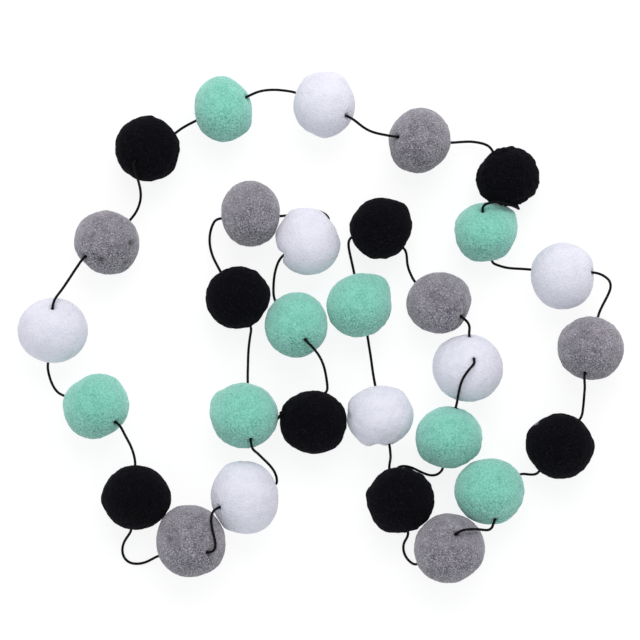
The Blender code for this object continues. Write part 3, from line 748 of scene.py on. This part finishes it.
def squeezed_rays(entry, leave, polar, around):
    """Unit vectors on a grid whose two poles are a ball's mouths.

    A sphere's own grid has its poles at opposite ends of the way from exit to entry. It is
    squeezed towards the way halfway between the mouths, until the poles meet the mouths: a
    ray's part a along that way becomes (a + k) / (1 + a k), and the rest is scaled by
    sqrt(1 - k squared) / (1 + a k), where k is the cosine of half the angle between the mouths.
    """
    pole = unit(entry - leave)
    halfway = unit(entry + leave)
    third = np.cross(pole, halfway)
    closeness = halfway @ entry
    part = np.sin(polar)[:, None] * np.cos(around)
    sideways = (np.sin(polar)[:, None] * np.sin(around))[..., None]
    rest = np.cos(polar)[:, None, None] * pole + sideways * third
    shrunk = np.sqrt(1 - closeness**2)
    grown = (1 + part * closeness)[..., None]
    return (((part + closeness)[..., None] * halfway) + rest * shrunk) / grown


def uneven_skin(ball, places):
    """The felted skin's small unevenness: a sum of cosines along seeded random directions."""
    deep = WOOLS[ball.wool].uneven * UNEVEN_BALLS.get(ball.number, 1)
    chance = np.random.default_rng(ball.number)
    ways = unit(chance.normal(size=(GRAIN_WAVES, 3)))
    sizes = chance.uniform(*GRAIN_SIZES, GRAIN_WAVES)
    starts = chance.uniform(0, 2 * np.pi, GRAIN_WAVES)
    return deep * np.cos(places @ (ways / sizes[:, None] * 2 * np.pi).T + starts).sum(axis=-1)


def ball_grid(ball):
    """A ball's skin from one mouth to the other, and the hole's wall back again, as one grid.

    Returns it with two shares for each point, both painted shade: how much a hollow is drawn
    darker, from 0 on the open skin to 1 in a hole, and how much stronger and darker its grain
    is drawn, from 0 to 1 on the side towards the viewer, away from the light.

    Along a ray the skin lies at the ball's reach plus its small unevenness. Near a mouth it
    is drawn in along the hole by a narrow bell, the dimple, and a wide one, and puckered by
    a cosine round the mouth. The hole's wall is straight.
    """
    centre = middle(ball)
    entry_ray, leave_ray = toward(*ball.entry), toward(*ball.exit)
    entry, leave = mouth(ball, ball.entry), mouth(ball, ball.exit)
    inward = unit(leave - entry)
    closeness = unit(entry_ray + leave_ray) @ entry_ray
    start = RIM_WIDE / 2 / (np.linalg.norm(entry - centre) * np.sqrt(1 - closeness**2))
    share = np.linspace(0, 1, SKIN_ROWS)
    share = share - ROW_CROWDING * np.sin(2 * np.pi * share) / (2 * np.pi)
    polar = start + (np.pi - 2 * start) * share
    around = np.linspace(0, 2 * np.pi, COLUMNS, endpoint=False)
    rays = squeezed_rays(entry_ray, leave_ray, polar, around[None])
    flat = centre + rays * skin_reach(ball, rays)[..., None]
    skin = flat + rays * uneven_skin(ball, flat)[..., None]
    hollow_shade = np.zeros(flat.shape[:2])
    for bearing, tilt, deep, wide in PITS.get(ball.number, ()):
        apart = np.linalg.norm(flat - mouth(ball, (bearing, tilt)), axis=-1)
        pit = deep * np.exp(-((apart / wide * 2) ** 2))
        skin = skin - rays * pit[..., None]
        # Painted shade: a pit is drawn darker by its depth.
        hollow_shade = hollow_shade + pit * PIT_SHADE
    for place, way in ((entry, inward), (leave, -inward)):
        away = np.linalg.norm(flat - place, axis=-1)
        narrow = np.exp(-((away / DIMPLE_HALF) ** 2))
        dent = DIMPLE_DEEP * narrow + DRAWN_IN * np.exp(-((away / DRAWN_HALF) ** 2))
        # Painted shade: the dimple round each mouth is drawn darker.
        hollow_shade = hollow_shade + narrow
        ruffle = np.exp(-(((away - PUCKER_AT) / PUCKER_HALF) ** 2))
        pucker = PUCKER_DEEP * np.cos(PUCKERS * around + ball.number) * ruffle
        skin = skin + way * (dent + pucker)[..., None]
    skin[..., 2] = np.maximum(skin[..., 2], 0)
    walls = []
    for rim, place, way in ((skin[-1], leave, -inward), (skin[0], entry, inward)):
        out = rim - place
        out = unit(out - (out @ inward)[:, None] * inward)
        walls.append(place + way * HOLE_START + out * HOLE_WIDE / 2)
    steps = np.linspace(0, 1, HOLE_ROWS)[:, None, None]
    grid = np.concatenate([skin, walls[0] + (walls[1] - walls[0]) * steps])
    # Painted shade of grazing light: the grain is drawn stronger towards the viewer's side, away from the
    # light, and fully in the holes.
    coarse = np.clip(-rays[..., 1] * GRAZING_SHADE_GROWTH, 0, 1)
    # The holes' walls are drawn wholly in painted shade.
    hole = np.ones((HOLE_ROWS, COLUMNS))
    return grid, np.concatenate([hollow_shade, hole]), np.concatenate([coarse, hole])


def felted_wool(name, wool):
    """Felted wool: a matt body colour with fine grain, soft clouds, curling fibres and flecks, with
    painted shade in its hollows and its grain drawn stronger and darker towards the viewer's side, away
    from the light.
    """
    finish, shader, place = new_finish(
        name,
        {
            "Roughness": 1.0,
            "Specular IOR Level": 0.05,
            "Sheen Weight": wool.sheen,
            "Sheen Roughness": 0.55,
            "Sheen Tint": (*wool.tint, 1),
        },
    )
    hollow_shade = place.node("ShaderNodeAttribute", {"attribute_name": "hollow_shade"}, {}, out="Fac")
    coarse = place.node("ShaderNodeAttribute", {"attribute_name": "coarse"}, {}, out="Fac")
    # Painted shade: the grain is drawn stronger, and so darker, towards the viewer's side, away from the
    # light.
    grain = (place.patches(wool.patch, detail=3.0, rough=0.6) - 0.5) * (coarse * wool.coarser + 1)
    cloud = place.patches(CLOUD_SIZE, detail=1.0) - 0.5
    fibre = place.patches(CURL_SIZE, kind="RIDGED_MULTIFRACTAL") - CURL_LEVEL
    dark = (0.0 - grain * wool.grain * 2 - cloud * wool.cloud * 2 - fibre * wool.fibre * 0.4).held()
    light = (grain * wool.grain * 2 + cloud * wool.cloud * 1.2 + fibre * wool.fibre * 0.4).held()
    body = dark.blend(linear(*wool.body), linear(*wool.deep))
    colour = light.blend(body, linear(*wool.high))
    if wool.fleck:
        flecks = (place.patches(FLECK_SIZE, detail=0.0) - FLECK_LEVEL) * FLECK_EDGE * wool.fleck
        colour = flecks.held().blend(colour, linear(*wool.high))
    # Painted shade: hollows, pits and the holes' walls are blended towards the wool's deep colour.
    colour = (hollow_shade * PAINTED_HOLLOW_SHADE).held().blend(colour, linear(*wool.deep))
    drive(shader, "Base Color", colour)
    drive(shader, "Normal", bump(grain * 0.8 + fibre * 0.3, 0.8, wool.relief))
    return finish


wool_finishes = {name: felted_wool(f"felted_wool_{name}", wool) for name, wool in WOOLS.items()}
for ball in BALLS:
    node = f"ball_{ball.number:02d}_{ball.wool}"
    name = f"felt_{node}"
    grid, hollow_shade, coarse = ball_grid(ball)
    mesh = mesh_of_grid(name, grid, rows_close=True)
    # Both shares are painted shade: one darkens the hollows, and the other strengthens the grain away
    # from the light.
    for share, values in (("hollow_shade", hollow_shade), ("coarse", coarse)):
        mesh.attributes.new(share, "FLOAT", "POINT").data.foreach_set("value", values.ravel())
    piece = new_piece(name, mesh, [wool_finishes[ball.wool]])
    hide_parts(node)

# The fuzz
# Loose ends of wool stand a little proud of every felted skin. They are drawn as short
# tapered fibres, one piece for each colour of wool, with roots just under the skin.
FIBRES_A_BALL = 700
FIBRE_WIDE = 0.075
FIBRE_LONG = (0.3, 1.15)
FIBRE_LIFT = (0.08, 0.5)
FIBRE_CURL = 0.5
FIBRE_BOW = 0.6  # of a half turn of the sine that it lifts by
FIBRE_TAPER = 0.7
ROOT_DEPTH = 0.08
FIBRE_ALONG = np.array([0.0, 0.4, 0.75])  # where its rings are, with its tip at 1
FUZZ_SEED = 40
CLEAR_OF_MOUTH = 1.6
CLEAR_OF_TABLE = 0.6

# A tuft of white wool caught on one of the black balls
LINT_BALL = 10
LINT_AIM = (134, 9)
LINT_FIBRES = 60
LINT_SPREAD = 0.05

FUZZ_TONES = {
    "white": ((232, 231, 240), (214, 215, 226), (244, 243, 250)),
    "mint": ((140, 212, 188), (104, 182, 156), (166, 228, 208)),
    "grey": ((146, 141, 148), (84, 80, 85), (196, 192, 198)),
    "black": ((20, 19, 25), (10, 10, 13), (40, 40, 50)),
}


def fibre_points(ball, rays, chance):
    """Rings of three points along each fibre of a ball, and its tip, as (fibre, point, axis).

    The rays point from the ball's middle to the fibres' roots. A fibre leaves its root
    along the skin, lifts by the first part of a half sine, curls aside by the square of
    the way along it and tapers to its tip. None stands near a mouth or the table.
    """
    roots = middle(ball) + rays * skin_reach(ball, rays)[:, None]
    halves = np.array([ball.wide, ball.deep, ball.tall]) / 2
    out = unit(rays / halves**2)
    lay = unit(np.cross(out, chance.normal(size=out.shape)))
    aside = np.cross(out, lay)
    long = chance.uniform(*FIBRE_LONG, (len(rays), 1))
    lift = chance.uniform(*FIBRE_LIFT, (len(rays), 1))
    curl = chance.uniform(-FIBRE_CURL, FIBRE_CURL, (len(rays), 1))
    kept = roots[:, 2] > CLEAR_OF_TABLE
    for aim in (ball.entry, ball.exit):
        kept &= np.linalg.norm(roots - mouth(ball, aim), axis=1) > CLEAR_OF_MOUTH

    def at(share):
        rise = lift * np.sin(share * np.pi * FIBRE_BOW) - ROOT_DEPTH
        return roots + out * rise + lay * long * share + aside * curl * share**2

    points = []
    for share in FIBRE_ALONG:
        radius = FIBRE_WIDE / 2 * (1 - FIBRE_TAPER * share)
        for angle in np.radians((90, 210, 330)):
            points.append(at(share) + (out * np.sin(angle) + aside * np.cos(angle)) * radius)
    points.append(at(1.0))
    points = np.stack(points, axis=1)[kept]
    points[..., 2] = np.maximum(points[..., 2], 0)
    return points


def fuzz_mesh(name, points):
    """Joins fibres of three rings and a tip: a root face, two bands of three sides, and a point."""
    sides = np.arange(3)
    nextly = (sides + 1) % 3
    band = np.stack([sides, sides + 3, nextly + 3, nextly], axis=1)
    tips = np.stack([sides + 6, np.full(3, 9), nextly + 6], axis=1)
    starts = np.arange(len(points))[:, None, None] * points.shape[1]
    quads = (starts + np.concatenate([band, band + 3])).reshape(-1, 4)
    threes = (starts + np.concatenate([tips, [sides]])).reshape(-1, 3)
    mesh = bpy.data.meshes.new(name)
    mesh.from_pydata((points * MM).reshape(-1, 3), [], quads.tolist() + threes.tolist())
    fibre_of_face = np.concatenate([quads[:, 0], threes[:, 0]]) // points.shape[1]
    mesh.polygons.foreach_set("material_index", (fibre_of_face % 3).astype(np.int32))
    mesh.shade_smooth()
    return mesh


def fibre_finish(name, tone, wool):
    """One of the colours of a wool's loose fibres, with the wool's own sheen."""
    return new_finish(
        name,
        {
            "Base Color": linear(*tone),
            "Roughness": 0.9,
            "Specular IOR Level": 0.05,
            "Sheen Weight": wool.sheen,
            "Sheen Tint": (*wool.tint, 1),
        },
    )[0]


for colour, tones in FUZZ_TONES.items():
    chance = np.random.default_rng(len(colour) + FUZZ_SEED)
    name = f"fuzz_{colour}"
    fibres = []
    for ball in BALLS:
        if ball.wool == colour:
            rays = unit(chance.normal(size=(FIBRES_A_BALL, 3)))
            fibres.append(fibre_points(ball, rays, chance))
    if colour == "white":
        spread = chance.normal(0, LINT_SPREAD, (LINT_FIBRES, 3))
        fibres.append(fibre_points(BALLS[LINT_BALL - 1], unit(toward(*LINT_AIM) + spread), chance))
    finishes = []
    for number, tone in enumerate(tones, 1):
        finishes.append(fibre_finish(f"{name}_{number}", tone, WOOLS[colour]))
    new_piece(name, fuzz_mesh(name, np.concatenate(fibres)), finishes)
